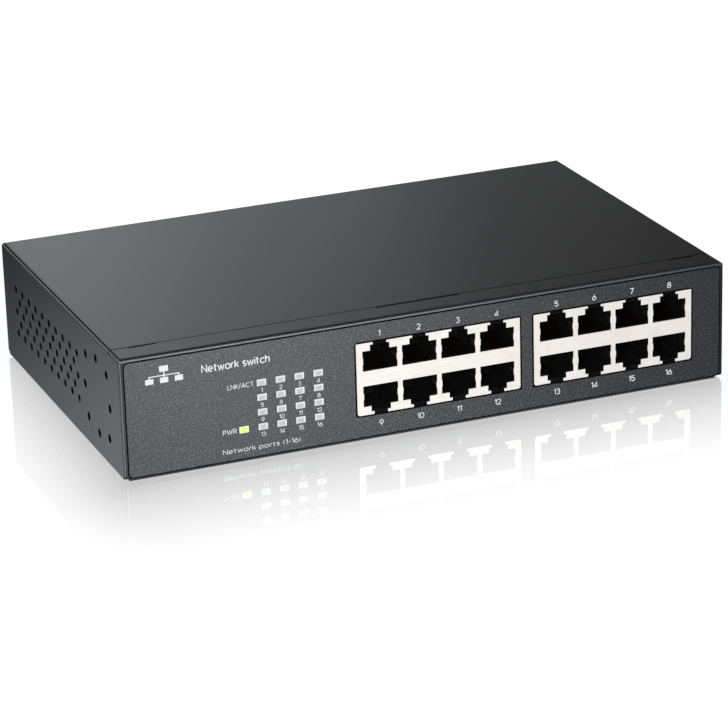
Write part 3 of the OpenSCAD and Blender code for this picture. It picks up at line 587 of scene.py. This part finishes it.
bm = bmesh.new()
bmesh.ops.create_grid(bm, x_segments=8, y_segments=8, size=6.0)
floor_mesh = bpy.data.meshes.new("floor")
bm.to_mesh(floor_mesh)
bm.free()
floor = bpy.data.objects.new("floor", floor_mesh)
floor.location.z = -0.05 * MM
scene.collection.objects.link(floor)
floor_mesh.materials.append(floor_material())
floor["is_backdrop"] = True


def link_light(links, role, name, objects, state):
    """Limits which objects a glow shines on (receiver) or is shaded by (blocker)."""
    group = bpy.data.collections.new(name)
    for obj in objects:
        group.objects.link(obj)
    for entry in group.collection_objects:
        entry.light_linking.link_state = state
    setattr(links, role + "_collection", group)


# The white floor is a backdrop: the dark paint doesn't mirror it
link_light(floor.light_linking, "receiver", "floor_receivers",
           [nodes[n] for n in ("chassis_base", "top_cover", "front_overlay",
                               "jack_housing_left", "jack_housing_right")], "EXCLUDE")

# The backdrop is white to the camera but sheds only a little light
world = bpy.data.worlds.new("studio")
scene.world = world
world.use_nodes = True
sky_nodes = world.node_tree
sky = sky_nodes.nodes["Background"]
sky.inputs["Color"].default_value = (1, 1, 1, 1)
path = sky_nodes.nodes.new("ShaderNodeLightPath")
sky_nodes.links.new(remap(sky_nodes, path.outputs["Is Camera Ray"], 0.0, 1.0, 0.10, 1.02),
                    sky.inputs["Strength"])


def soft_light(name, at, aim, size, watts):
    light = bpy.data.lights.new(name, "AREA")
    light.shape = "RECTANGLE"
    light.size, light.size_y = size
    light.energy = watts
    light.color = (0.945, 0.968, 1.0)
    obj = bpy.data.objects.new(name, light)
    obj.location = at
    obj.rotation_mode = "QUATERNION"
    obj.rotation_quaternion = (Vector(aim) - Vector(at)).to_track_quat("-Z", "Y")
    obj.visible_camera = False
    scene.collection.objects.link(obj)
    return obj


# White sky for the floor's own mirror image, with no effect on the object
floor_sky = soft_light("floor_sky", (0.6, 1.8, 1.2), (0, 0, 0), (6.0, 4.0), 75.0)
link_light(floor_sky.light_linking, "receiver", "sky_receivers", [floor], "INCLUDE")


def panel(name, at, size, watts, aim=(0, 0, 0.02), only=(), skip=()):
    """A soft panel for the object alone. The floor neither shows nor shades it."""
    obj = soft_light(name, at, aim, size, watts)
    if only:
        link_light(obj.light_linking, "receiver", name + "_on", only, "INCLUDE")
    else:
        link_light(obj.light_linking, "receiver", name + "_on", (floor, *skip), "EXCLUDE")
    link_light(obj.light_linking, "blocker", name + "_past", (floor,), "EXCLUDE")


film = nodes["front_overlay"]
shields = (nodes["jack_shield_left"], nodes["jack_shield_right"])
lettering = (nodes["link_light_pipes"], nodes["power_light_pipe"], front_print)
ports = [node for name, node in nodes.items() if name.startswith(("jack_", "port_"))]
pale = (*ports, *lettering)
insides = [node for node in ports if node not in shields]
base = nodes["chassis_base"]
# Behind the case, mirrored in its top: bright at the left, dim at the right
panel("rear_left", (0.12, 0.52, 0.22), (0.22, 0.25), 0.106)
panel("rear_high", (0.05, 0.85, 0.40), (0.3, 0.3), 0.54)
panel("rear_right", (0.3, 0.9, 0.15), (0.5, 0.2), 0.18)
panel("rear_side", (0.45, 0.92, 0.4), (0.3, 0.3), 0.04)
# Low at the left, as if off the floor, mirrored in the left side
panel("left_low", (-0.38, -0.35, -0.12), (0.25, 0.2), 2.5, only=(base,))
panel("left_mid", (-0.3, 0.25, -0.15), (0.2, 0.15), 0.22)
panel("left_edge", (-0.38, 0.42, 0.11), (0.08, 0.05), 0.38)
# In front, mirrored in the bend along the front's top edge
panel("front_bend", (0.1, -0.6, 0.32), (0.3, 0.2), 4.0, only=(base,))
panel("front_near", (0.02, -0.4, 0.2), (0.2, 0.12), 0.4, only=(base,))
# Low in front, for the printed film
panel("film_near", (-0.05, -0.22, 0.03), (0.12, 0.04), 0.26, (-0.05, 0, 0.03), (film,))
panel("film_left", (-0.25, -0.4, -0.1), (0.2, 0.2), 0.66, only=(film, base))
panel("film_low", (0.08, -0.5, -0.2), (0.15, 0.15), 0.3, only=(film, base))
# Low in front, mirrored in the left end of the tin plates
panel("shield_low", (0.15, -0.59, -0.2), (0.2, 0.2), 0.08, only=shields)
# Its twin above, for their image in the floor
panel("shield_high", (0.15, -0.59, 0.2), (0.45, 0.25), 0.8, only=shields)
# From the camera's side, into the jacks
panel("jack_fill", (-0.17, -0.42, 0.17), (0.15, 0.1), 1.2, only=insides)
# High in front, for the white print and the light windows
panel("print_front", (0.1, -0.6, 0.32), (0.3, 0.2), 2.7, only=lettering)
# For the sides that this view doesn't show
panel("right_wash", (0.9, 0.1, -0.36), (1.0, 0.3), 1.8, skip=(base,))
panel("rear_wash", (0.3, 0.9, -0.36), (0.75, 0.3), 1.3)
cover = nodes["top_cover"]
panel("left_wash", (-0.9, -0.6, -0.38), (1.0, 0.3), 1.2, only=(cover,))
panel("front_wash", (0.6, -1.2, 0.45), (1.6, 0.5), 1.0, only=(cover, coat))
panel("under_wash", (0, 0, -0.8), (0.3, 0.2), 0.35)
panel("right_top", (1.1, 0.2, 0.42), (0.6, 0.4), 0.35)
panel("left_top", (-1.1, 0.1, 0.42), (0.6, 0.4), 0.35)

# ------------------------------------------------------------------- camera
camera_data = bpy.data.cameras.new("camera")
camera = bpy.data.objects.new("camera", camera_data)
scene.collection.objects.link(camera)
scene.camera = camera
camera_data.sensor_width = 36.0
camera_data.lens = 166.167
camera_data.clip_start = 0.05
camera_data.clip_end = 30.0
RIGHT = Vector((0.92627, -0.375866, -0.027379))
DOWN = Vector((-0.156137, -0.316625, -0.935612))
AHEAD = Vector((0.342996, 0.870904, -0.351967))
turn = Matrix((RIGHT, -DOWN, -AHEAD)).transposed()
camera.matrix_world = Matrix.Translation((-0.40035, -1.02156, 0.41307)) @ turn.to_4x4()

scene.view_settings.view_transform = "Standard"
scene.view_settings.look = "None"

low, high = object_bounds()
